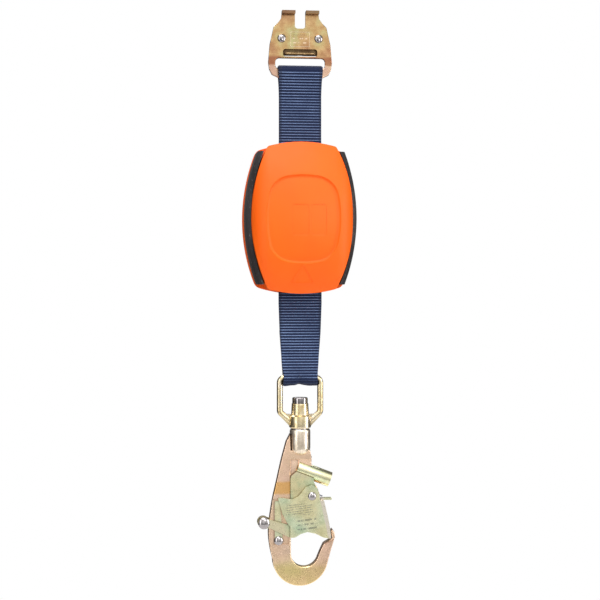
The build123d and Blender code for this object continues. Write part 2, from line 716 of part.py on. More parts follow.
# ---------------------------------------------------------------- hook
with BuildPart() as hook_body:
    with BuildSketch(Plane.XZ) as hook_face:
        with BuildLine():
            Polyline((10.1, -440), (-10.2, -440), (-10.7, -424), (-14.7, -432))
            Spline(
                (-14.7, -432), (-20.0, -452), (-24.7, -473), (-29.0, -492), (-32.2, -513),
                (-33.1, -527), (-31.6, -541), (-28.8, -552.9),
                tangents=((-0.25, -1), (0.15, -1)),
            )
            ThreePointArc((-28.8, -552.9), (-2.0, -580.64), (27.5, -559.6))
            Spline((27.5, -559.6), (30.6, -548.0), (33.6, -538.0), (35.8, -531.0))
            Polyline(
                (35.8, -531.0), (35.3, -526.3), (33.2, -522.7), (31.9, -524.4),
                (32.9, -532.2), (24.2, -537.4),
            )
            Spline((24.2, -537.4), (20.6, -545.0), (17.4, -552.8))
            ThreePointArc((17.4, -552.8), (4.3, -561.3), (-10.0, -547.0))
            Polyline((-10.0, -547.0), (-10.4, -469.5), (-10.4, -450), (-2.1, -450), (-2.1, -469.5))
            Polyline((-2.1, -469.5), (2.6, -481.0), (4.4, -492.2))
            ThreePointArc((4.4, -492.2), (11.6, -496.4), (18.8, -492.2))
            Polyline((18.8, -492.2), (18.6, -482.0), (11.7, -470), (11.7, -450), (10.1, -440))
        make_face()
    extrude(amount=HOOK_HALF, both=True)
    with BuildSketch(Plane.XZ):
        with BuildLine():
            Polyline((0, BARREL_TOP_Z), (0, BARREL_END_Z), (3.5, BARREL_END_Z))
            ThreePointArc((3.5, BARREL_END_Z), (8.9, -443.6), (BARREL_R, -438.5))
            Polyline((BARREL_R, -438.5), (BARREL_R, -420.0), (10.0, BARREL_TOP_Z), (0, BARREL_TOP_Z))
        make_face()
    revolve(axis=Axis.Z)
    with BuildSketch(Plane.XY.offset(-441.0)):
        Circle(STEM_R + 0.02)
    extrude(amount=30, mode=Mode.SUBTRACT)
    pin_through(PIVOT_A, 3.05, -7, 7, Mode.SUBTRACT)
    pin_through(PIVOT_C, 3.05, -7, 7, Mode.SUBTRACT)
    with BuildSketch(Plane.XZ) as thin_lug:
        with Locations((8.6, -462.5)):
            Rectangle(22.0, 25.0)
        with Locations(PIVOT_A):
            Circle(13.6, mode=Mode.SUBTRACT)
    extrude(thin_lug.sketch, amount=HOOK_HALF + 1, both=True, mode=Mode.SUBTRACT)
    with BuildSketch(Plane.XZ) as lug_web:
        with BuildLine():
            Polyline(
                (-2.1, -449.5), (11.7, -449.5), (11.7, -470.0), (18.6, -482.0),
                (2.6, -481.0), (-2.1, -469.5), close=True,
            )
        make_face()
    extrude(lug_web.sketch, amount=LUG_HALF, both=True)
    with Locations((-6.3, 0, -460.0)):
        Box(9.0, 2 * POCKET_HALF, 24.0)
    pin_through(PIVOT_A, 3.05, -7, 7, Mode.SUBTRACT)
    pin_through(PIVOT_A, SPRING_R + 0.3, -2.9, 2.9, Mode.SUBTRACT)
    with Locations((17.0, 0, -487.4)):
        Box(10.8, 5.8, 2 * SPRING_R, mode=Mode.SUBTRACT)
    for face_y in (-HOOK_HALF, HOOK_HALF - 1.4):
        with Locations((-20.4, face_y + 0.7, -514.0)):
            Box(16.0, 1.4, 47.0, mode=Mode.SUBTRACT)


def domed_rivet(centre, shank_r, shank_half, head_r, head_tall):
    """A rivet along Y through both faces, with a low domed head at each end."""
    pin_through(centre, shank_r, -shank_half, shank_half)
    dome_r = (head_r**2 + head_tall**2) / (2 * head_tall)
    x, z = centre
    for facing in (-1, 1):
        rim = facing * shank_half
        top = facing * (shank_half + head_tall)
        with BuildSketch(Plane(origin=(x, 0, z), x_dir=(1, 0, 0), z_dir=(0, 0, 1))) as section:
            with BuildLine():
                RadiusArc((0, top), (head_r, rim), facing * dome_r)
                Polyline((head_r, rim), (0, rim), (0, top))
            make_face()
        revolve(section.sketch, axis=Axis((x, 0, z), (0, 1, 0)))


with BuildPart() as gate_rivet:
    domed_rivet(PIVOT_A, 3.0, 9.95, 4.3, 1.9)

with BuildPart() as catch_rivet:
    domed_rivet(PIVOT_C, 3.0, 6.3, 4.75, 2.2)

# ---------------------------------------------------------------- catch
CATCH_OUTLINE = [
    (-26.8, -493), (-21.5, -493), (-19.4, -520), (-18.4, -533), (-22.6, -537.2), (-26.6, -533),
]

with BuildPart() as catch:
    for face_y in (-6.1, 4.9):
        with BuildSketch(Plane.XZ.offset(-face_y - 1.2)) as catch_face:
            with BuildLine():
                Polyline(*CATCH_OUTLINE, close=True)
            make_face()
            fillet(catch_face.vertices(), 1.5)
            with Locations(PIVOT_C):
                Circle(3.1, mode=Mode.SUBTRACT)
        extrude(amount=1.2)

# ---------------------------------------------------------------- lock lever
roll_run = sqrt((ROLL_END[0] - ROLL_START[0]) ** 2 + (ROLL_END[1] - ROLL_START[1]) ** 2)
ROLL_PLANE = Plane(
    origin=(ROLL_START[0], 0, ROLL_START[1]),
    x_dir=(0, 1, 0),
    z_dir=(ROLL_END[0] - ROLL_START[0], 0, ROLL_END[1] - ROLL_START[1]),
)
LEVER_OUTLINE = [
    (-4.1, -462.7), (-9.8, -467.0), (-10.6, -469.5), (-10.6, -505), (-12.6, -517.4),
    (-31.4, -511.7), (-38, -509.6), (-43, -512), (-43.6, -517.5), (-40, -521), (-32.3, -520.3),
    (-12.2, -530), (0, -523.5), (6, -510), (17.5, -496), (19.6, -488), (16.5, -480),
    (13.8, -474), (13.5, -469.5),
]

with BuildPart() as lock_lever:
    for face_y in (-LEVER_OUT, LEVER_IN):
        with BuildSketch(Plane.XZ.offset(-face_y - LEVER_OUT + LEVER_IN)) as cheek:
            with BuildLine():
                Polyline(*LEVER_OUTLINE, close=True)
            make_face()
            with Locations(PIVOT_A, PIVOT_B):
                Circle(3.1, mode=Mode.SUBTRACT)
        extrude(amount=LEVER_OUT - LEVER_IN)
    with BuildSketch(ROLL_PLANE):
        Circle(ROLL_R)
        Circle(ROLL_R - 1.4, mode=Mode.SUBTRACT)
    extrude(amount=roll_run)
    with BuildSketch(Plane.XZ) as lug_path:
        with BuildLine():
            Polyline(
                (-20, -440), (12.3, -440), (12.3, -470), (19.5, -481), (19.5, -500),
                (-20, -500), close=True,
            )
        make_face()
    extrude(amount=LUG_HALF + 0.1, both=True, mode=Mode.SUBTRACT)
    with BuildSketch(Plane.XZ) as boss_path:
        with Locations(PIVOT_A):
            Circle(13.9)
    extrude(amount=LEVER_IN, both=True, mode=Mode.SUBTRACT)

with BuildPart() as lever_pin:
    domed_rivet(PIVOT_B, 3.0, 7.9, 6.0, 2.4)

# ---------------------------------------------------------------- gate
GATE_OUTLINE = [
    (-23.7, -490.4), (-22.3, -489.0), (-8.7, -490.9), (-2.8, -487.9), (1.3, -483.0),
    (5.0, -478.4), (11.5, -476.0), (16.9, -479.6), (19.2, -486.8), (20.4, -495.7),
    (24.0, -507.4), (27.5, -522.3), (28.7, -531.5), (23.4, -530.6), (15.0, -526.5),
    (6.7, -524.7), (0.2, -526.5), (-5.8, -530.0), (-11.0, -530.5), (-11.0, -518.4),
    (-13.4, -516.3), (-19.5, -505.0), (-21.7, -495.7),
]
GATE_STRIP = [
    (19.8, -492.0), (24.0, -493.0), (27.6, -508.0), (30.2, -521.0), (31.4, -531.5),
    (28.7, -531.5), (27.3, -522.3), (23.8, -507.4), (20.2, -495.7),
]

with BuildPart() as gate:
    for face_y in (-GATE_OUT, GATE_IN):
        with BuildSketch(Plane.XZ.offset(-face_y - GATE_OUT + GATE_IN)):
            with BuildLine():
                Polyline(*GATE_OUTLINE, close=True)
            make_face()
            with Locations(PIVOT_A):
                Circle(3.1, mode=Mode.SUBTRACT)
        extrude(amount=GATE_OUT - GATE_IN)
    with BuildSketch(Plane.XZ):
        with BuildLine():
            Polyline(*GATE_STRIP, close=True)
        make_face()
    extrude(amount=GATE_OUT, both=True)
    with Locations((27.0, 0, -491.6)):
        Box(11.0, 9.0, 2.0)

with BuildPart() as gate_spring:
    with BuildSketch(Plane.XZ.offset(-2.6)):
        with Locations(PIVOT_A):
            Circle(SPRING_R)
            Circle(SPRING_R - 1.6, mode=Mode.SUBTRACT)
    extrude(amount=5.2)
    spring_tail = Plane(origin=(15.4, -1.6, -486.0), x_dir=(0, 1, 0), z_dir=(7.6, 0, -3.0))
    with BuildSketch(spring_tail):
        Circle(0.8)
    extrude(amount=8.2)

PIECES = {
    "connector_plate": connector_plate,
    "connector_backplate": connector_backplate,
    "connector_rivets": connector_rivets,
    "anchor_strap": anchor_strap,
    "front_cover": front_cover,
    "rear_cover": rear_cover,
    "cover_screws": cover_screws,
    "left_bumper": left_bumper,
    "right_bumper": right_bumper,
    "strap_guide": strap_guide,
    "line_guide": line_guide,
    "left_frame_plate": left_frame_plate,
    "right_frame_plate": right_frame_plate,
    "frame_spacers": frame_spacers,
    "anchor_pin": anchor_pin,
    "anchor_sleeve": anchor_sleeve,
    "shaft_bushes": shaft_bushes,
    "roller_pins": roller_pins,
    "front_roller": front_roller,
    "rear_roller": rear_roller,
    "drum": drum,
    "drum_flange": drum_flange,
    "web_retaining_pin": web_retaining_pin,
    "drum_shaft": drum_shaft,
    "wound_webbing": wound_webbing,
    "spring_cup": spring_cup,
    "spring_cover": spring_cover,
    "spring_arbor": spring_arbor,
    "recoil_spring": recoil_spring,
    "ratchet_ring": ratchet_ring,
    "friction_discs": friction_discs,
    "pressure_plate": pressure_plate,
    "brake_bolts": brake_bolts,
    "brake_springs": brake_springs,
    "pawl_plate": pawl_plate,
    "pawl_pins": pawl_pins,
    "upper_pawl": upper_pawl,
    "lower_pawl": lower_pawl,
    "pawl_springs": pawl_springs,
    "lifeline_webbing": lifeline_webbing,
    "wear_sleeve": wear_sleeve,
    "swivel_eye": swivel_eye,
    "swivel_pin": swivel_pin,
    "swivel_washer": swivel_washer,
    "hook_body": hook_body,
    "gate_rivet": gate_rivet,
    "catch_rivet": catch_rivet,
    "catch": catch,
    "lock_lever": lock_lever,
    "lever_pin": lever_pin,
    "gate": gate,
    "gate_spring": gate_spring,
}

for label, piece in PIECES.items():
    piece.part.label = label
    export_step(piece.part, f"parts/{label}.step")
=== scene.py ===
"""Looks for the self retracting lifeline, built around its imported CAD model. Metres, +Z up."""

import json
import math

import bmesh
import bpy
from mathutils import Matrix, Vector


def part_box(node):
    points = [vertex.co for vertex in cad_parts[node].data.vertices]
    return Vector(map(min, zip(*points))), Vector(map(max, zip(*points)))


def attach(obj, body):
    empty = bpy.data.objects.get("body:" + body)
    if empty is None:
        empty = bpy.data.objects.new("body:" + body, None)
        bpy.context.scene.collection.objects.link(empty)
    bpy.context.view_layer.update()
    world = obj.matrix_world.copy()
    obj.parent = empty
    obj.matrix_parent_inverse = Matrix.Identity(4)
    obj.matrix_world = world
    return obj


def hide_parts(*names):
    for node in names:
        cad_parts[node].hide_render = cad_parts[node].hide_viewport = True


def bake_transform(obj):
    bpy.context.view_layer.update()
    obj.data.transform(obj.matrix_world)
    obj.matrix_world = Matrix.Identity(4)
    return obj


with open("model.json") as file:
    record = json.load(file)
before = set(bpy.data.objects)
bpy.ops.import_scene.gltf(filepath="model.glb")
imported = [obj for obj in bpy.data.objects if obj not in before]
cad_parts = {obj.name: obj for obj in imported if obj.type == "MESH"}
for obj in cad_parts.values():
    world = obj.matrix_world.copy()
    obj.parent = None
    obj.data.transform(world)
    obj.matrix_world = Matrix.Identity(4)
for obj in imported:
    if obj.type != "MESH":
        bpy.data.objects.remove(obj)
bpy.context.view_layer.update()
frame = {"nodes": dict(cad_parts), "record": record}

MM = 0.001
NODES = frame["nodes"]
RECORD = frame["record"]
SLOT_OF = {s["node"]: s["material_slot"] for s in RECORD["subparts"]}
RIB_PITCH = 1.7 / 590
YARN_PITCH = 0.9 * MM
SELVEDGE_WIDTH = 3.2 * MM


# ---------------------------------------------------------------- materials
class Shader:
    """A small helper for wiring a node material."""

    def __init__(self, name):
        self.material = bpy.data.materials.new(name)
        self.material.use_nodes = True
        self.tree = self.material.node_tree
        self.surface = self.tree.nodes["Principled BSDF"]
        self.coords = self.add("ShaderNodeTexCoord").outputs["Object"]

    def add(self, kind, **settings):
        node = self.tree.nodes.new(kind)
        for key, value in settings.items():
            setattr(node, key, value)
        return node

    def link(self, source, target):
        self.tree.links.new(source, target)

    def put(self, **values):
        for key, value in values.items():
            self.surface.inputs[key.replace("_", " ")].default_value = value

    def scaled(self, x, y, z):
        node = self.add("ShaderNodeMapping")
        node.inputs["Scale"].default_value = (x, y, z)
        self.link(self.coords, node.inputs["Vector"])
        return node.outputs["Vector"]

    def noise(self, scale, detail=3.0, rough=0.5, vector=None):
        node = self.add("ShaderNodeTexNoise")
        node.inputs["Scale"].default_value = scale
        node.inputs["Detail"].default_value = detail
        node.inputs["Roughness"].default_value = rough
        self.link(vector or self.coords, node.inputs["Vector"])
        return node.outputs["Fac"]

    def ramp(self, value, *stops):
        node = self.add("ShaderNodeValToRGB")
        node.color_ramp.elements[0].position = stops[0][0]
        node.color_ramp.elements[0].color = (*stops[0][1], 1)
        node.color_ramp.elements[1].position = stops[-1][0]
        node.color_ramp.elements[1].color = (*stops[-1][1], 1)
        for position, colour in stops[1:-1]:
            node.color_ramp.elements.new(position).color = (*colour, 1)
        self.link(value, node.inputs["Fac"])
        return node.outputs["Color"]

    def mix(self, first, second, amount, blend="MIX"):
        node = self.add("ShaderNodeMix", data_type="RGBA", blend_type=blend)
        for socket, value in ((node.inputs[6], first), (node.inputs[7], second)):
            if isinstance(value, tuple):
                socket.default_value = (*value, 1)
            else:
                self.link(value, socket)
        if isinstance(amount, (int, float)):
            node.inputs[0].default_value = amount
        else:
            self.link(amount, node.inputs[0])
        return node.outputs[2]

    def sums(self, operation, first, second=0.0):
        node = self.add("ShaderNodeMath", operation=operation)
        for socket, value in ((node.inputs[0], first), (node.inputs[1], second)):
            if isinstance(value, (int, float)):
                socket.default_value = value
            else:
                self.link(value, socket)
        return node.outputs[0]

    def lifted(self, value):
        """A sine or cosine brought from -1..1 to 0..1."""
        socket = self.sums("MULTIPLY_ADD", value, 0.5)
        socket.node.inputs[2].default_value = 0.5
        return socket

    def split(self, vector):
        node = self.add("ShaderNodeSeparateXYZ")
        self.link(vector, node.inputs[0])
        return node.outputs

    def between(self, value, low, high):
        """One where low < value < high, zero elsewhere."""
        above = self.sums("GREATER_THAN", value, low)
        return self.sums("MULTIPLY", above, self.sums("LESS_THAN", value, high))

    def faded(self, value, low, high, soft):
        """One between low and high, easing to zero over the soft distance at each end."""
        ends = []
        for place, inside, outside in ((low, 1.0, 0.0), (high, 0.0, 1.0)):
            node = self.add("ShaderNodeMapRange", interpolation_type="SMOOTHSTEP")
            node.inputs["From Min"].default_value = place - soft
            node.inputs["From Max"].default_value = place + soft
            node.inputs["To Min"].default_value = outside
            node.inputs["To Max"].default_value = inside
            self.link(value, node.inputs["Value"])
            ends.append(node.outputs["Result"])
        return self.sums("MULTIPLY", *ends)

    def spread(self, value, low, high):
        node = self.add("ShaderNodeMapRange")
        node.inputs["To Min"].default_value = low
        node.inputs["To Max"].default_value = high
        self.link(value, node.inputs["Value"])
        return node.outputs["Result"]

    def bump(self, height, distance, strength=1.0, under=None):
        node = self.add("ShaderNodeBump")
        node.inputs["Distance"].default_value = distance
        node.inputs["Strength"].default_value = strength
        self.link(height, node.inputs["Height"])
        if under:
            self.link(under, node.inputs["Normal"])
        return node.outputs["Normal"]

    def colour(self, socket):
        self.link(socket, self.surface.inputs["Base Color"])

    def rough(self, socket):
        self.link(socket, self.surface.inputs["Roughness"])

    def normal(self, socket):
        self.link(socket, self.surface.inputs["Normal"])


def plating(name, base, second, third, rough=(0.20, 0.36), patch=70.0, edge=None):
    """Zinc plating: patches of passivate colour, pale edges painted as highlights, crevices
    darkened as painted shade, fine grain and small dents.
    """
    m = Shader(name)
    cloud = m.noise(patch, 4.0, 0.55)
    tint = m.ramp(cloud, (0.34, second), (0.50, base), (0.64, third))
    blotch = m.noise(patch * 4.0, 3.0, 0.6)
    faded = m.ramp(blotch, (0.35, (0.84, 0.82, 0.76)), (0.6, (1.0, 1.0, 1.0)))
    tint = m.mix(tint, faded, 1.0, "MULTIPLY")
    # Painted highlight: sharp edges are tinted pale where light would catch them.
    edge_highlight = m.add("ShaderNodeNewGeometry").outputs["Pointiness"]
    edge_highlight = m.ramp(edge_highlight, (0.50, (0.0,) * 3), (0.58, (1.0,) * 3))
    if edge:
        tint = m.mix(tint, edge, edge_highlight)
    # Painted shade: ambient occlusion darkens crevices, steps and gaps between parts.
    crevice = m.add("ShaderNodeAmbientOcclusion", samples=8)
    crevice.inputs["Distance"].default_value = 3.0 * MM
    crevice_shade = m.ramp(crevice.outputs["AO"], (0.35, (0.16, 0.12, 0.09)), (0.85, (1.0, 1.0, 1.0)))
    tint = m.mix(tint, crevice_shade, 1.0, "MULTIPLY")
    speckle = m.noise(1400.0, 2.0)
    shade = m.ramp(speckle, (0.35, (0.86, 0.86, 0.86)), (0.65, (1.0, 1.0, 1.0)))
    m.colour(m.mix(tint, shade, 1.0, "MULTIPLY"))
    m.rough(m.spread(m.noise(180.0, 4.0), *rough))
    coarse = m.bump(m.noise(240.0, 4.0, 0.6), 0.0005, 0.14)
    m.normal(m.bump(speckle, 0.00005, 0.2, coarse))
    m.put(Metallic=1.0)
    return m


def plated_metal(name, base, second, third, **settings):
    """The material of a plainly plated piece."""
    return plating(name, base, second, third, **settings).material


def engraved_metal(
    name, base, second, third, rows, patch, ink=(0.24, 0.25, 0.20), bands=(), edge=None
):
    """Plating with generic rows of engraved dashes, and tinted bands, in millimetre windows. Some
    bands are painted shade.

    A row with no dash length is a plain engraved line. A band is (lean, low, high, soft,
    colour, amount), measured along z for a lean of zero and along x plus lean times z otherwise.
    """
    m = plating(name, base, second, third, patch=patch, edge=edge)
    x, _, z = m.split(m.coords)
    cut = 0.0
    for x_from, x_to, z_from, z_to, row_pitch, dash, lean in rows:
        tilt = m.sums("MULTIPLY_ADD", x, lean)
        m.link(z, tilt.node.inputs[2])
        inside = m.between(x, x_from * MM, x_to * MM)
        inside = m.sums("MULTIPLY", inside, m.between(z, z_from * MM, z_to * MM))
        row = m.sums("FRACT", m.sums("MULTIPLY", tilt, 1 / (row_pitch * MM)))
        line = m.between(row, 0.22, 0.62)
        step = m.sums("FLOOR", m.sums("MULTIPLY", tilt, 1 / (row_pitch * MM)))
        along = m.add("ShaderNodeCombineXYZ")
        m.link(m.sums("MULTIPLY", x, 1 / ((dash or 1.0) * MM)), along.inputs[0])
        m.link(m.sums("MULTIPLY", step, 7.31), along.inputs[1])
        gaps = m.sums("GREATER_THAN", m.noise(1.0, 1.0, 0.5, along.outputs[0]), 0.46)
        here = m.sums("MULTIPLY", inside, m.sums("MULTIPLY", line, gaps)) if dash else inside
        cut = m.sums("MAXIMUM", here, cut)
    tint = m.surface.inputs["Base Color"].links[0].from_socket
    for lean, low, high, soft, colour, amount in bands:
        place = m.sums("ADD", x, m.sums("MULTIPLY", z, lean)) if lean else z
        blur = m.sums("MULTIPLY", m.sums("SUBTRACT", m.noise(90.0, 3.0), 0.5), 4.0 * MM)
        here = m.faded(m.sums("ADD", place, blur), low * MM, high * MM, soft * MM)
        tint = m.mix(tint, colour, m.sums("MULTIPLY", here, amount))
    if rows:
        tint = m.mix(tint, ink, m.sums("MULTIPLY", cut, 0.6))
        under = m.surface.inputs["Normal"].links[0].from_socket
        m.normal(m.bump(m.sums("SUBTRACT", 1.0, cut), 0.0003, 0.8, under))
    m.colour(tint)
    return m.material


def moulded(name, base, dark, rough, grain=900.0, depth=0.00006, shine=0.5, painted_glints=0.0):
    """Moulded plastic or rubber with a faint tone drift and a fine grain; pale specks, where asked
    for, are painted glints.
    """
    m = Shader(name)
    drift = m.noise(14.0, 3.0)
    tone = m.ramp(drift, (0.25, dark), (0.7, base))
    # Painted glints: pale specks standing for highlights on glossy rubber.
    if painted_glints:
        glint_spot = m.ramp(m.noise(520.0, 2.0, 0.7), (0.62, (0.0,) * 3), (0.74, (painted_glints,) * 3))
        tone = m.mix(tone, (0.5, 0.48, 0.47), glint_spot)
    m.colour(tone)
    fine = m.noise(grain, 3.0, 0.6)
    m.rough(m.spread(m.noise(60.0, 3.0), rough - 0.05, rough + 0.08))
    m.normal(m.bump(fine, depth, 0.7))
    m.put(Specular_IOR_Level=shine)
    return m.material


def woven(name, high, low, edge, half_width, fold_shadows=()):
    """Ribbed webbing: ribs across, painted bright on their tops as highlights and dark between as
    shade, fine yarns along, darker selvedges, and painted shadow at each fold.

    A fold is (low, high, amount), a height window in millimetres that is darkened as painted
    shadow.
    """
    m = Shader(name)
    x, _, z = m.split(m.coords)
    drift = m.noise(26.0, 3.0, 0.6)
    turns = m.sums("MULTIPLY", z, 2 * math.pi / RIB_PITCH)
    wave = m.lifted(m.sums("COSINE", turns))
    yarn = m.sums("MULTIPLY", x, 2 * math.pi / YARN_PITCH)
    yarn = m.sums("ADD", yarn, m.sums("MULTIPLY", turns, 0.5))
    thread = m.lifted(m.sums("SINE", yarn))
    fluff = m.noise(2600.0, 2.0)
    # Painted light: the rib tops are painted bright as highlights and the dips between them dark as
    # shade.
    rib_highlight = m.sums("POWER", wave, 2.6)
    tone = m.sums("MULTIPLY", rib_highlight, m.spread(thread, 0.55, 1.0))
    tone = m.sums("MULTIPLY", tone, m.spread(fluff, 0.5, 1.4))
    tone = m.sums("MULTIPLY", tone, m.spread(drift, 0.55, 1.3))
    # Each window darkens the web as a painted fold shadow.
    for fold_low, fold_high, amount in fold_shadows:
        near = m.between(z, fold_low * MM, fold_high * MM)
        tone = m.sums("MULTIPLY", tone, m.spread(near, 1.0, 1.0 - amount))
    middle = tuple((a + 6 * b) / 7 for a, b in zip(high, low))
    face = m.ramp(tone, (0.10, low), (0.45, middle), (0.95, high))
    side = m.sums("SUBTRACT", m.sums("ABSOLUTE", x), half_width - SELVEDGE_WIDTH)
    side = m.sums("GREATER_THAN", side, 0.0)
    m.colour(m.mix(face, m.mix(edge, face, 0.45), side))
    m.put(Roughness=0.82, Sheen_Weight=0.08, Sheen_Roughness=0.5, Specular_IOR_Level=0.25)
    coarse = m.bump(wave, 0.0004, 0.6)
    m.normal(m.bump(m.sums("MULTIPLY", thread, fluff), 0.00016, 0.8, coarse))
    return m.material


def plain_steel(name, base, rough, grain_axis=(1, 1, 30)):
    """Clear plated or turned steel with a directional grain."""
    m = Shader(name)
    grain = m.noise(120.0, 4.0, 0.6, m.scaled(*grain_axis))
    dull = tuple(c * 0.78 for c in base)
    m.colour(m.ramp(grain, (0.3, dull), (0.7, base)))
    m.rough(m.spread(grain, rough - 0.06, rough + 0.1))
    m.normal(m.bump(grain, 0.00005, 0.4))
    m.put(Metallic=1.0)
    return m.material


# Painted highlight colour for the forging's sharp edges.
PALE_EDGE_HIGHLIGHT = (0.99, 0.74, 0.60)
GATE_ROWS = (
    (-15.0, 12.0, -507.0, -495.5, 2.3, 0.9, -0.12),
    (-3.5, 17.0, -522.5, -509.5, 4.4, 1.5, -0.12),
)
CONNECTOR_ROWS = (
    (-10.0, 10.0, -9.4, -8.8, 1.0, 0.0, 0.0),
    (-10.0, 10.0, -24.4, -23.8, 1.0, 0.0, 0.0),
    (-10.0, -9.4, -24.4, -8.8, 1.0, 0.0, 0.0),
    (9.4, 10.0, -24.4, -8.8, 1.0, 0.0, 0.0),
    (-7.5, 7.5, -21.5, -12.0, 4.4, 1.6, 0.0),
)
CONNECTOR_SHADE_AND_TINT_BANDS = (
    # Painted shadow on the lips above the plate.
    (0.0, 8.9, 16.0, 0.4, (0.17, 0.09, 0.06), 0.75),
    # Painted shade for the bend of the lower loop, drawn on a flat plate.
    (0.0, -44.0, -34.8, 1.5, (0.30, 0.10, 0.06), 0.75),
    # A paler pinkish tint on the legs below the bend.
    (0.0, -60.0, -44.0, 1.5, (0.66, 0.44, 0.36), 0.60),
)
FORGED_BANDS = (
    (0.0, -620.0, -557.0, 7.0, (0.84, 0.66, 0.27), 0.50),
    (0.0, -557.0, -430.0, 7.0, (1.0, 0.72, 0.54), 0.55),
    (0.0, -486.0, -473.0, 1.6, (0.90, 0.46, 0.05), 0.65),
)
GATE_BANDS = ((0.225, -90.6, -86.0, 0.5, (0.95, 0.84, 0.74), 0.75),)
STRAP_TOP_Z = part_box("anchor_strap")[1][2] / MM
LINE_END_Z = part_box("lifeline_webbing")[0][2] / MM
# Painted shadow: where the strap turns over its bar and where the lifeline wraps round the eye.
WEB_FOLD_SHADOWS = (
    (STRAP_TOP_Z - 6.5, STRAP_TOP_Z + 3.0, 0.85),
    (LINE_END_Z - 4.0, LINE_END_Z + 7.0, 0.55),
)
MATERIALS = {
    "plated_steel": plated_metal(
        "plated_steel", (0.70, 0.48, 0.22), (0.54, 0.30, 0.15), (0.66, 0.56, 0.28), patch=42.0,
        edge=(0.88, 0.66, 0.46),
    ),
    "connector_steel": engraved_metal(
        "connector_steel", (0.64, 0.42, 0.20), (0.50, 0.26, 0.14), (0.56, 0.50, 0.24),
        CONNECTOR_ROWS, 42.0, (0.95, 0.72, 0.50), CONNECTOR_SHADE_AND_TINT_BANDS,
    ),
    # Painted shade: a darker, duller copy of the plating for the rolled bar lying in shadow behind
    # the front plate.
    "bead_shade_plating": plated_metal(
        "bead_shade_plating", (0.30, 0.20, 0.10), (0.22, 0.14, 0.07), (0.38, 0.28, 0.15),
        rough=(0.34, 0.48),
    ),
    # Painted shade: the backplate, seen through the window behind the front plate, is plating
    # darkened to look shadowed.
    "backplate_shade_plating": plated_metal(
        "backplate_shade_plating", (0.16, 0.10, 0.055), (0.10, 0.055, 0.035), (0.24, 0.17, 0.09)
    ),
    "forged_steel": engraved_metal(
        "forged_steel", (0.98, 0.68, 0.40), (0.90, 0.78, 0.36), (0.98, 0.60, 0.43), (), 24.0,
        edge=PALE_EDGE_HIGHLIGHT, bands=FORGED_BANDS,
    ),
    "gate_steel": engraved_metal(
        "gate_steel", (0.94, 0.98, 0.66), (0.72, 0.92, 0.66), (1.0, 0.94, 0.58), GATE_ROWS, 36.0,
        bands=GATE_BANDS,
    ),
    "lever_steel": plated_metal(
        "lever_steel", (0.72, 0.86, 0.54), (0.58, 0.80, 0.54), (0.95, 0.86, 0.48), patch=36.0,
        edge=(0.92, 0.84, 0.56),
    ),
    "eye_steel": plated_metal(
        "eye_steel", (0.88, 0.74, 0.46), (0.84, 0.62, 0.30), (0.92, 0.80, 0.62), patch=52.0,
    ),
    "barrel_steel": plated_metal(
        "barrel_steel", (0.96, 0.84, 0.69), (0.88, 0.74, 0.58), (1.0, 0.92, 0.82), patch=60.0,
        rough=(0.28, 0.40),
    ),
    "rivet_steel": plain_steel("rivet_steel", (0.44, 0.41, 0.41), 0.09),
    "frame_steel": plain_steel("frame_steel", (0.55, 0.55, 0.56), 0.30),
    "spring_steel": plain_steel("spring_steel", (0.30, 0.31, 0.36), 0.26),
    "brake_lining": moulded("brake_lining", (0.10, 0.08, 0.07), (0.06, 0.05, 0.05), 0.85, 500.0),
    "orange_shell": moulded(
        "orange_shell", (0.95, 0.128, 0.002), (0.93, 0.108, 0.002), 0.50, 1100.0, 0.00005,
        shine=0.28,
    ),
    "bumper_rubber": moulded(
        "bumper_rubber", (0.040, 0.034, 0.034), (0.024, 0.021, 0.022), 0.30, 700.0, 0.0001,
        painted_glints=0.35,
    ),
    "black_plastic": moulded("black_plastic", (0.02, 0.02, 0.022), (0.012, 0.012, 0.013), 0.45),
    "drum_plastic": moulded("drum_plastic", (0.07, 0.075, 0.085), (0.05, 0.05, 0.06), 0.5),
    "navy_web": woven(
        "navy_web", (0.280, 0.400, 0.680), (0.003, 0.009, 0.040), (0.008, 0.012, 0.030), 22.5 * MM,
        WEB_FOLD_SHADOWS,
    ),
    "black_web": woven(
        "black_web", (0.030, 0.030, 0.034), (0.006, 0.006, 0.007), (0.02, 0.02, 0.02), 30 * MM
    ),
    "bronze": plain_steel("bronze", (0.60, 0.40, 0.20), 0.35),
}


# ---------------------------------------------------------------- building pieces
def smooth(obj, angle=35.0):
    for polygon in obj.data.polygons:
        polygon.use_smooth = True
    obj.data.set_sharp_from_angle(angle=math.radians(angle))


def finish_piece(obj, body, slot_name, replaced=()):
    """Gives a piece its finish and its body, and hides the CAD nodes it stands for."""
    if not obj.data.materials:
        obj.data.materials.append(MATERIALS[slot_name])
    if body:
        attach(obj, body)
    if replaced:
        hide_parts(*replaced)
    return obj


def mesh_piece(name, verts, faces, angle=35.0):
    mesh = bpy.data.meshes.new(name)
    mesh.from_pydata(verts, [], faces)
    mesh.validate()
    mesh.update()
    obj = bpy.data.objects.new(name, mesh)
    bpy.context.scene.collection.objects.link(obj)
    smooth(obj, angle)
    return obj


def bevel(obj, width, segments=3, angle=30.0):
    """Rounds a piece's sharp edges."""
    edge = obj.modifiers.new("soft_edges", "BEVEL")
    edge.width = width
    edge.segments = segments
    edge.limit_method = "ANGLE"
    edge.angle_limit = math.radians(angle)
    edge.use_clamp_overlap = True


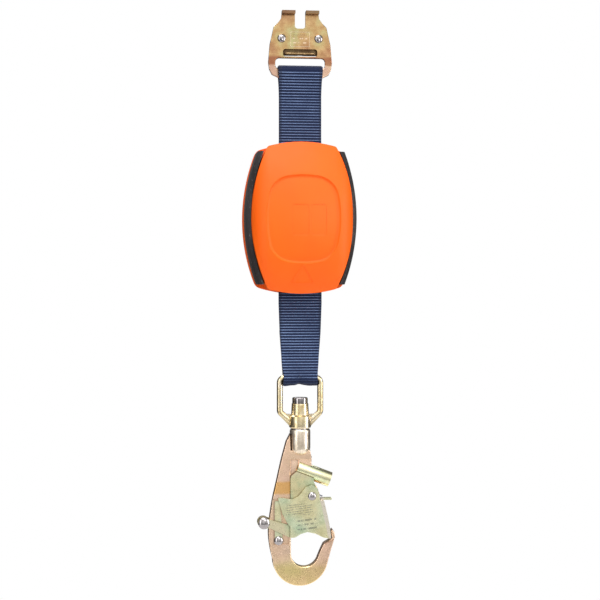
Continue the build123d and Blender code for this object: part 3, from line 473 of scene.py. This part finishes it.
def catmull(points, per=6):
    """A smooth open curve through the points."""
    pts = [Vector(p) for p in points]
    pts = [2 * pts[0] - pts[1]] + pts + [2 * pts[-1] - pts[-2]]
    out = []
    for a, b, c, d in zip(pts, pts[1:], pts[2:], pts[3:]):
        for k in range(per):
            t = k / per
            out.append(
                0.5 * ((2 * b) + (c - a) * t + (2 * a - 5 * b + 4 * c - d) * t * t
                       + (3 * b - a - 3 * c + d) * t**3)
            )
    out.append(pts[-2])
    return out


def arc(centre, radius, start, end, steps=24):
    """Points on a circle, angles in degrees, as plain (x, z)."""
    out = []
    for k in range(steps + 1):
        a = math.radians(start + (end - start) * k / steps)
        out.append(Vector((centre[0] + radius * math.cos(a), centre[1] + radius * math.sin(a))))
    return out


def slab(name, outline, half_thick, rounding, steps):
    """A plate in the XZ plane, centred on y = 0, with rounded edges, in millimetres."""
    curve = bpy.data.curves.new(name, "CURVE")
    curve.dimensions = "2D"
    curve.fill_mode = "BOTH"
    curve.extrude = (half_thick - rounding) * MM
    curve.bevel_depth = rounding * MM
    curve.bevel_resolution = steps
    curve.offset = -rounding * MM
    spline = curve.splines.new("POLY")
    spline.points.add(len(outline) - 1)
    for point, (x, z) in zip(spline.points, outline):
        point.co = (x * MM, z * MM, 0, 1)
    spline.use_cyclic_u = True
    made = bpy.data.objects.new(name, curve)
    bpy.context.scene.collection.objects.link(made)
    bpy.context.view_layer.update()
    mesh = bpy.data.meshes.new_from_object(made)
    bpy.data.objects.remove(made)
    for vertex in mesh.vertices:
        x, up, depth = vertex.co
        vertex.co = (x, -depth, up)
    joined = bmesh.new()
    joined.from_mesh(mesh)
    bmesh.ops.remove_doubles(joined, verts=joined.verts, dist=1e-6)
    bmesh.ops.recalc_face_normals(joined, faces=joined.faces)
    joined.to_mesh(mesh)
    joined.free()
    obj = bpy.data.objects.new(name, mesh)
    mesh.name = name
    bpy.context.scene.collection.objects.link(obj)
    smooth(obj, 40.0)
    return obj


def flip_out(obj):
    """Turns a closed piece's faces outward."""
    made = bmesh.new()
    made.from_mesh(obj.data)
    bmesh.ops.recalc_face_normals(made, faces=made.faces)
    made.to_mesh(obj.data)
    made.free()


def box_mesh(name, low, high):
    """A closed box between two corners in millimetres."""
    corners = [(x * MM, y * MM, z * MM) for x in (low[0], high[0]) for y in (low[1], high[1])
               for z in (low[2], high[2])]
    faces = [(0, 1, 3, 2), (4, 6, 7, 5), (0, 4, 5, 1), (2, 3, 7, 6), (0, 2, 6, 4), (1, 5, 7, 3)]
    obj = mesh_piece(name, corners, faces)
    flip_out(obj)
    return obj


def carve(obj, cutter):
    """Cuts one piece out of another and removes the cutter."""
    cut = obj.modifiers.new("carve", "BOOLEAN")
    cut.operation = "DIFFERENCE"
    cut.solver = "EXACT"
    cut.object = cutter
    bpy.context.view_layer.update()
    result = obj.evaluated_get(bpy.context.evaluated_depsgraph_get())
    mesh = bpy.data.meshes.new_from_object(result)
    if len(mesh.polygons) < 0.8 * len(obj.data.polygons):
        raise RuntimeError(f"cutting {cutter.name} out of {obj.name} lost the piece")
    obj.modifiers.clear()
    obj.data = mesh
    bpy.data.objects.remove(cutter)
    smooth(obj, 40.0)


# ---------------------------------------------------------------- webbing
def resample(points, step):
    """Points a fixed step apart along a polyline of (y, z)."""
    out = [points[0].copy()]
    left = step
    for a, b in zip(points, points[1:]):
        length = (b - a).length
        done = 0.0
        while length - done >= left:
            done += left
            out.append(a.lerp(b, done / length))
            left = step
        left -= length - done
    return out


def tangent(point, centre_z, radius, side):
    """Where a line from a point (y, z) touches a round bar, as an angle in degrees."""
    dy, dz = point[0], point[1] - centre_z
    reach = math.hypot(dy, dz)
    toward = math.degrees(math.atan2(dz, dy))
    opening = math.degrees(math.acos(radius / reach))
    away = 1 if centre_z > point[1] else -1
    return toward + side * away * opening


def webbing(name, path, thick, half_width, closed, rib_height=0.35, flat=None):
    """A ribbed strap of closed section along a path of (y, z) points, all in millimetres."""
    rows = resample(path, RIB_PITCH / MM / 8)
    if closed and (rows[-1] - rows[0]).length < 0.2:
        rows.pop()
    count = len(rows)
    columns = 56
    verts, faces = [], []
    for k, row in enumerate(rows):
        ahead = rows[(k + 1) % count] if closed or k < count - 1 else row
        behind = rows[k - 1] if closed or k > 0 else row
        along = (ahead - behind).normalized()
        normal = Vector((-along.y, along.x))
        half = half_width(row.y)
        swell = abs(math.cos(math.pi * row.y / (RIB_PITCH / MM))) ** 0.8
        level = 0.0 if flat and flat(row.y) else 1.0
        for face in (1, -1):
            for c in range(columns + 1):
                u = (2 * c / columns - 1) * face
                x = u * half
                rim = max(0.0, (abs(u) - 0.94) / 0.06)
                edge_drop = 0.5 * thick * rim**2 * 0.55
                selvedge = 0.35 if abs(u) > 0.90 else 1.0
                yarn = 0.10 * math.sin(x * 2 * math.pi / 1.1 + k * 0.7)
                lift = level * selvedge * rib_height * (swell - 0.5 + yarn * swell)
                height = face * (thick / 2 - rib_height / 2 - edge_drop + lift)
                y = row.x + normal.x * height
                z = row.y + normal.y * height
                verts.append((x * MM, y * MM, z * MM))
    ring = 2 * (columns + 1)
    last = count if closed else count - 1
    for k in range(last):
        base, following = k * ring, ((k + 1) % count) * ring
        for c in range(ring):
            d = (c + 1) % ring
            faces.append((base + c, base + d, following + d, following + c))
    if not closed:
        for start in (0, (count - 1) * ring):
            for c in range(columns):
                a, b = start + c, start + c + 1
                e, f = start + ring - 1 - c, start + ring - 2 - c
                faces.append((a, b, f, e) if start else (e, f, b, a))
    obj = mesh_piece(name, verts, faces, 60.0)
    flip_out(obj)
    return obj


def strap_path(bar_z, pin_z, radius, layer_y, gather):
    """The closed middle line of a strap sewn round a bar above and a pin below."""
    top_mid, low_mid = bar_z - gather, pin_z + gather
    top_turn = tangent((layer_y, top_mid), bar_z, radius, 1)
    low_turn = tangent((layer_y, low_mid), pin_z, radius, 1)
    over = arc((0, bar_z), radius, top_turn, 180 - top_turn, 40)
    under = arc((0, pin_z), radius, 180 - low_turn, 360 + low_turn, 40)
    path = [Vector((layer_y, (top_mid + low_mid) / 2)), Vector((layer_y, top_mid))]
    path += over + [Vector((-layer_y, top_mid)), Vector((-layer_y, low_mid))]
    path += under + [Vector((layer_y, low_mid)), Vector((layer_y, (top_mid + low_mid) / 2))]
    return path


STRAP_LOOP_REACH = 8.2
strap_low, strap_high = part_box("anchor_strap")
bar_z = strap_high[2] / MM - STRAP_LOOP_REACH
pin_z = strap_low[2] / MM + STRAP_LOOP_REACH


def strap_half_width(z):
    """Half the strap's width: spread a little and rounded off where it turns over the bar."""
    half = 21.9 + 1.4 * math.exp(-(((z - STRAP_TOP_Z) / 14.0) ** 2))
    over = max(0.0, min(1.0, (z - STRAP_TOP_Z + 3.2) / 3.2))
    return half - 2.6 * (1.0 - math.sqrt(1.0 - over * over))


strap = webbing(
    "anchor_strap_web",
    strap_path(bar_z, pin_z, 6.9, 1.35, 24.0),
    2.5,
    strap_half_width,
    closed=True,
    rib_height=0.5,
    flat=lambda z: z > STRAP_TOP_Z - 5.0,
)
finish_piece(strap, "strap", "navy_web", ["anchor_strap"])

EYE_BAR_DROP = 3.1
eye_bar_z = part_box("swivel_eye")[1][2] / MM - EYE_BAR_DROP
WEB_FRONT_Y = -0.75
WEB_THICK = 1.45
LOOP_R = 7.5
LOOP_TOP_Z = -344.0
TAIL_END_Z = -317.0


def line_half_width(z):
    """Half the lifeline's width: full from the housing, gathered at the eye."""
    stations = ((-290, 22.4), (-320, 21.3), (-350, 19.0), (-362, 17.7), (-400, 17.5))
    if z >= stations[0][0]:
        return stations[0][1]
    for (z1, w1), (z2, w2) in zip(stations, stations[1:]):
        if z >= z2:
            return w1 + (w2 - w1) * (z1 - z) / (z1 - z2)
    return stations[-1][1]


EYE_HALF = 17.6


def crumple(obj):
    """Bunches the web where it wraps the eye, deepest in the middle of its width."""
    for vertex in obj.data.vertices:
        x, y, z = vertex.co
        near = max(0.0, min(1.0, (-0.356 - z) / 0.010))
        across = x / (EYE_HALF * MM)
        wave = 0.75 * math.cos(2.9 * across) + 0.4 * math.sin(9.0 * across)
        notch = math.exp(-((x + 1.5 * MM) / (3.2 * MM)) ** 2)
        below_bar = 1.0 if z < eye_bar_z * MM else 0.25
        vertex.co.z += near * (0.5 * wave + 1.3 * notch) * MM * below_bar


line_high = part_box("lifeline_webbing")[1]
eye_turn = tangent((WEB_FRONT_Y, LOOP_TOP_Z), eye_bar_z, LOOP_R, -1)
tail_turn = tangent((-WEB_FRONT_Y, LOOP_TOP_Z), eye_bar_z, LOOP_R, 1)
line_path = [
    Vector((26.0, line_high[2] / MM - 4.0)),
    Vector((0.2, -259.0)),
    Vector((WEB_FRONT_Y + 0.15, -261.2)),
    Vector((WEB_FRONT_Y, -264.0)),
    Vector((WEB_FRONT_Y, LOOP_TOP_Z)),
]
line_path += arc((0, eye_bar_z), LOOP_R, eye_turn, 360 + tail_turn, 60)
line_path += [Vector((-WEB_FRONT_Y, LOOP_TOP_Z)), Vector((-WEB_FRONT_Y, TAIL_END_Z))]
lifeline = webbing(
    "lifeline_web",
    line_path,
    WEB_THICK,
    line_half_width,
    closed=False,
    rib_height=0.4,
    flat=lambda z: z > -279.0,
)
lifeline.data.materials.append(MATERIALS["navy_web"])
crumple(lifeline)
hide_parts("lifeline_webbing")
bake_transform(lifeline)


# ---------------------------------------------------------------- turned pieces
def turned(name, profile, steps=72):
    """A piece turned about the Z axis from (radius, z) points in millimetres."""
    verts, faces = [], []
    for r, z in profile:
        for k in range(steps):
            a = 2 * math.pi * k / steps
            verts.append((r * math.cos(a) * MM, r * math.sin(a) * MM, z * MM))
    rings = len(profile)
    for i in range(rings - 1):
        for k in range(steps):
            n = (k + 1) % steps
            faces.append((i * steps + k, i * steps + n, (i + 1) * steps + n, (i + 1) * steps + k))
    faces.append(tuple(range(steps))[::-1])
    faces.append(tuple((rings - 1) * steps + k for k in range(steps)))
    return mesh_piece(name, verts, faces, 30.0)


def laid_forward(obj, x, z):
    """Lays a turned piece along Y, its low end to the front, at (x, z) in millimetres."""
    for vertex in obj.data.vertices:
        across, deep, along = vertex.co
        vertex.co = (across + x * MM, along, deep + z * MM)
    flip_out(obj)
    smooth(obj, 30.0)


rivet_low, rivet_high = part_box("connector_rivets")
rivet_z = (rivet_low[2] + rivet_high[2]) / 2 / MM
RIVET_HEAD_R = 4.6
rivet_x = rivet_high[0] / MM - RIVET_HEAD_R
DOME = [(0.3, -3.9), (1.6, -3.75), (2.9, -3.3), (3.9, -2.6), (4.5, -1.75), (4.55, -1.5)]
TAIL = [(2.5, -1.5), (2.5, 3.7), (4.5, 3.7), (4.3, 4.4), (3.0, 5.0), (0.4, 5.2)]
for rivet_name, place_x in (("connector_rivet_left", -rivet_x), ("connector_rivet_right", rivet_x)):
    rivet = turned(rivet_name, DOME + TAIL, steps=40)
    laid_forward(rivet, place_x, rivet_z)
    finish_piece(rivet, "connector", "rivet_steel")
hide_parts("connector_rivets")

BEAD = [(0.3, -15.5), (1.1, -15.3), (1.4, -14.8), (1.4, 14.8), (1.1, 15.3), (0.3, 15.5)]
BEAD_Y, BEAD_Z = 0.6, -31.2
bead = turned("backplate_bead", BEAD, steps=32)
for vertex in bead.data.vertices:
    across, deep, along = vertex.co
    vertex.co = (along, deep + BEAD_Y * MM, across + BEAD_Z * MM)
flip_out(bead)
smooth(bead, 30.0)
bead.data.materials.append(MATERIALS["bead_shade_plating"])
finish_piece(bead, "connector", "plated_steel")

# ---------------------------------------------------------------- hook forging
FORGING_HALF = 5.95
LUG_HALF = 4.15
POCKET_HALF = 2.0
NOSE_ROUNDING = 1.0  # the nose is 3 mm wide, so a larger rounding would make it cross itself
GATE_PIVOT = (11.6, -487.9)
BOWL_CENTRE = (4.3, -547.0)
BOWL_R = 14.3
SPINE = [(-14.7, -432), (-20.0, -452), (-24.7, -473), (-29.0, -492), (-32.2, -513),
         (-33.1, -527), (-31.6, -541), (-28.8, -552.9)]
hook_outline = [Vector(p) for p in ((10.1, -441), (-10.2, -441), (-10.6, -424))]
hook_outline += catmull(SPINE, 6)
hook_outline += arc((-0.2, -551.9), 28.7, 182, 344, 48)[1:]
hook_outline += catmull([(27.5, -559.6), (30.6, -548.0), (33.6, -538.0), (35.8, -531.0)], 5)
hook_outline += [Vector(p) for p in (
    (35.3, -526.3), (33.2, -522.7), (31.9, -524.4), (32.9, -532.2), (24.2, -537.4))]
hook_outline += catmull([(24.0, -538.0), (20.6, -545.0), (17.4, -552.8)], 5)
hook_outline += arc(BOWL_CENTRE, BOWL_R, -24, -180, 36)[1:]
hook_outline += [Vector(p) for p in ((-10.4, -469.5), (-10.0, -450.6), (11.7, -450.6))]
lug_outline = [Vector(p) for p in ((11.7, -447), (-2.1, -447), (-2.1, -469.5), (2.6, -481.0))]
lug_outline += arc(GATE_PIVOT, 8.4, 211, 329, 20)
lug_outline += [Vector(p) for p in ((18.6, -482.0), (11.7, -470))]
pocket_outline = [Vector(p) for p in ((-11.5, -448), (-11.5, -472), (-1.0, -472), (-1.0, -448))]
hook_plate = slab("hook_forging", hook_outline, FORGING_HALF, NOSE_ROUNDING, 5)
lug_plate = slab("hook_lug", lug_outline, LUG_HALF, 1.0, 3)
pocket_wall = slab("hook_pocket_wall", pocket_outline, POCKET_HALF, 0.2, 2)
lug_boss = turned(
    "hook_lug_boss",
    [(3.2, -5.9), (7.4, -5.9), (8.3, -5.0), (8.3, 5.0), (7.4, 5.9), (3.2, 5.9)],
)
laid_forward(lug_boss, *GATE_PIVOT)

# A recess for the catch in each face. The rear one is 1.4 mm deeper than the CAD's.
RECESS_REACH = 1.4
for face_y in (-6.0, 4.6):
    recess_low = (-28.4, face_y - RECESS_REACH, -537.5)
    recess_high = (-12.4, face_y + RECESS_REACH, -490.5)
    carve(hook_plate, box_mesh("recess_cutter", recess_low, recess_high))

# A groove across the nose in each face.
GROOVE_MIDDLE = (31.0, -534.9)
GROOVE_TILT = math.radians(24)
GROOVE_HALF_LENGTH, GROOVE_DEPTH, GROOVE_HALF_WIDTH = 7.0, 1.6, 0.6
for face_y in (-FORGING_HALF, FORGING_HALF):
    groove_low = (-GROOVE_HALF_LENGTH, face_y - GROOVE_DEPTH, -GROOVE_HALF_WIDTH)
    groove_high = (GROOVE_HALF_LENGTH, face_y + GROOVE_DEPTH, GROOVE_HALF_WIDTH)
    cutter = box_mesh("nose_cutter", groove_low, groove_high)
    for vertex in cutter.data.vertices:
        x, depth, z = vertex.co
        turned_x = x * math.cos(GROOVE_TILT) - z * math.sin(GROOVE_TILT)
        turned_z = x * math.sin(GROOVE_TILT) + z * math.cos(GROOVE_TILT)
        vertex.co = (GROOVE_MIDDLE[0] * MM + turned_x, depth, GROOVE_MIDDLE[1] * MM + turned_z)
    carve(hook_plate, cutter)

# The gate spring's slot in the lug and its boss.
SPRING_GAP = 0.4
spring_low, spring_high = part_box("gate_spring")
for piece in (lug_plate, lug_boss):
    room_low = [edge / MM - SPRING_GAP for edge in spring_low]
    room_high = [edge / MM + SPRING_GAP for edge in spring_high]
    carve(piece, box_mesh("spring_cutter", room_low, room_high))

BARREL = [
    (3.5, -446.7), (5.6, -446.2), (7.6, -445.0), (9.2, -443.2), (10.2, -441.0), (10.7, -438.5),
    (10.7, -421.6), (10.5, -420.3), (9.9, -419.5), (9.2, -419.3),
]
barrel = turned("hook_barrel", BARREL)
for piece in (hook_plate, lug_plate, pocket_wall, lug_boss):
    finish_piece(piece, "hook", "forged_steel")
barrel.data.materials.append(MATERIALS["barrel_steel"])
finish_piece(barrel, "hook", "forged_steel")
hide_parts("hook_body")

# ---------------------------------------------------------------- finishes on the CAD nodes
BEVELLED = {
    "gate": 0.45, "lock_lever": 0.35, "connector_plate": 0.6, "connector_backplate": 0.5,
    "left_bumper": 1.6, "right_bumper": 1.6, "swivel_eye": 0.5, "catch": 0.2, "front_cover": 2.0,
    "rear_cover": 0.7, "swivel_pin": 0.3,
}
FINISH_OF = {
    "swivel_eye": "eye_steel", "lock_lever": "lever_steel", "connector_plate": "connector_steel",
    "connector_backplate": "backplate_shade_plating",
}
for node_name, node in NODES.items():
    node.data.materials.clear()
    node.data.materials.append(MATERIALS[FINISH_OF.get(node_name, SLOT_OF[node_name])])
    if node_name in BEVELLED:
        weld = node.modifiers.new("weld", "WELD")
        weld.merge_threshold = 1e-6
        bevel(node, BEVELLED[node_name] * MM)

# ---------------------------------------------------------------- studio
def area_light(name, place, look_at, width, height, power, colour=(1, 1, 1)):
    data = bpy.data.lights.new(name, "AREA")
    data.shape = "RECTANGLE"
    data.size, data.size_y = width, height
    data.energy = power
    data.color = colour
    lamp = bpy.data.objects.new(name, data)
    lamp.location = place
    lamp.rotation_euler = (Vector(look_at) - Vector(place)).to_track_quat("-Z", "Y").to_euler()
    lamp.visible_camera = False
    bpy.context.scene.collection.objects.link(lamp)


MIDDLE = (0, 0, -0.286)
area_light("key_above", (-0.15, -0.62, 0.80), (0, 0, -0.2), 0.8, 0.4, 8)
area_light("fill_left", (-0.9, -0.8, -0.2), MIDDLE, 0.20, 1.4, 3)
area_light("fill_right", (1.15, -0.45, -0.25), MIDDLE, 0.35, 1.2, 7.5)
area_light("back_fill", (0.0, 1.0, 0.75), MIDDLE, 1.0, 0.5, 13)
area_light("panel_sheen", (0.16, -0.42, -0.16), (0.01, -0.05, -0.19), 0.20, 0.20, 0.42)

FLOOR_Z = -0.78
floor = mesh_piece(
    "studio_floor",
    [(x, y, FLOOR_Z) for x, y in ((-0.6, -0.6), (0.6, -0.6), (0.6, 0.6), (-0.6, 0.6))],
    [(0, 1, 2, 3)],
)
floor_paint = Shader("floor_paint")
floor_paint.colour(floor_paint.ramp(floor_paint.noise(3.0), (0.3, (0.93,) * 3), (0.7, (0.96,) * 3)))
floor_paint.put(Roughness=0.9)
floor.data.materials.append(floor_paint.material)

world = bpy.data.worlds.new("studio")
bpy.context.scene.world = world
world.use_nodes = True
tree = world.node_tree
background = tree.nodes["Background"]
direction = tree.nodes.new("ShaderNodeTexCoord")
split = tree.nodes.new("ShaderNodeSeparateXYZ")
tree.links.new(direction.outputs["Generated"], split.inputs[0])


def world_ramp(value, stops):
    """A grey ramp over a zero-to-one value."""
    node = tree.nodes.new("ShaderNodeValToRGB")
    node.color_ramp.elements[0].position, grey = stops[0]
    node.color_ramp.elements[0].color = (grey, grey, grey, 1)
    node.color_ramp.elements[1].position, grey = stops[-1]
    node.color_ramp.elements[1].color = (grey, grey, grey, 1)
    for position, grey in stops[1:-1]:
        node.color_ramp.elements.new(position).color = (grey, grey, grey, 1)
    tree.links.new(value, node.inputs["Fac"])
    return node.outputs["Color"]


def world_maths(operation, first, second, third=0.0):
    node = tree.nodes.new("ShaderNodeMath")
    node.operation = operation
    for socket, value in zip(node.inputs, (first, second, third)):
        if isinstance(value, (int, float)):
            socket.default_value = value
        else:
            tree.links.new(value, socket)
    return node.outputs[0]


# Brightness from below (0) to above (1), and from the front (0) round either side to the back (1).
BY_HEIGHT = [(0.0, 0.08), (0.40, 0.36), (0.60, 0.88), (1.0, 1.05)]
BY_TURN = [
    (0.0, 1.45), (0.07, 1.35), (0.13, 0.80), (0.20, 1.20), (0.34, 1.10), (0.44, 0.22), (0.78, 0.08),
    (1.0, 0.22),
]
height = world_maths("MULTIPLY_ADD", split.outputs["Z"], 0.5, 0.5)
up_and_down = world_ramp(height, BY_HEIGHT)
turn = world_maths("ARCTAN2", split.outputs["X"], world_maths("MULTIPLY", split.outputs["Y"], -1.0))
turn = world_maths("DIVIDE", world_maths("ABSOLUTE", turn, 0.0), math.pi)
round_about = world_ramp(turn, BY_TURN)
sky = tree.nodes.new("ShaderNodeMix")
sky.data_type = "RGBA"
sky.blend_type = "MULTIPLY"
sky.inputs[0].default_value = 1.0
tree.links.new(up_and_down, sky.inputs[6])
tree.links.new(round_about, sky.inputs[7])
path_info = tree.nodes.new("ShaderNodeLightPath")
choose = tree.nodes.new("ShaderNodeMix")
choose.data_type = "RGBA"
choose.inputs[7].default_value = (1.0, 1.0, 1.0, 1)
tree.links.new(path_info.outputs["Is Camera Ray"], choose.inputs[0])
tree.links.new(sky.outputs[2], choose.inputs[6])
tree.links.new(choose.outputs[2], background.inputs["Color"])

CAMERA_TURN = math.radians(-6.0)
CAMERA_AWAY = 1.5
CAMERA_LENS = 87.0
camera_data = bpy.data.cameras.new("camera")
camera_data.lens = CAMERA_LENS
camera_data.sensor_width = 36.0
camera = bpy.data.objects.new("camera", camera_data)
camera.location = (
    CAMERA_AWAY * math.sin(CAMERA_TURN), -CAMERA_AWAY * math.cos(CAMERA_TURN), MIDDLE[2]
)
camera.rotation_euler = (Vector(MIDDLE) - camera.location).to_track_quat("-Z", "Y").to_euler()
bpy.context.scene.collection.objects.link(camera)
bpy.context.scene.camera = camera
bpy.context.scene.view_settings.view_transform = "Standard"
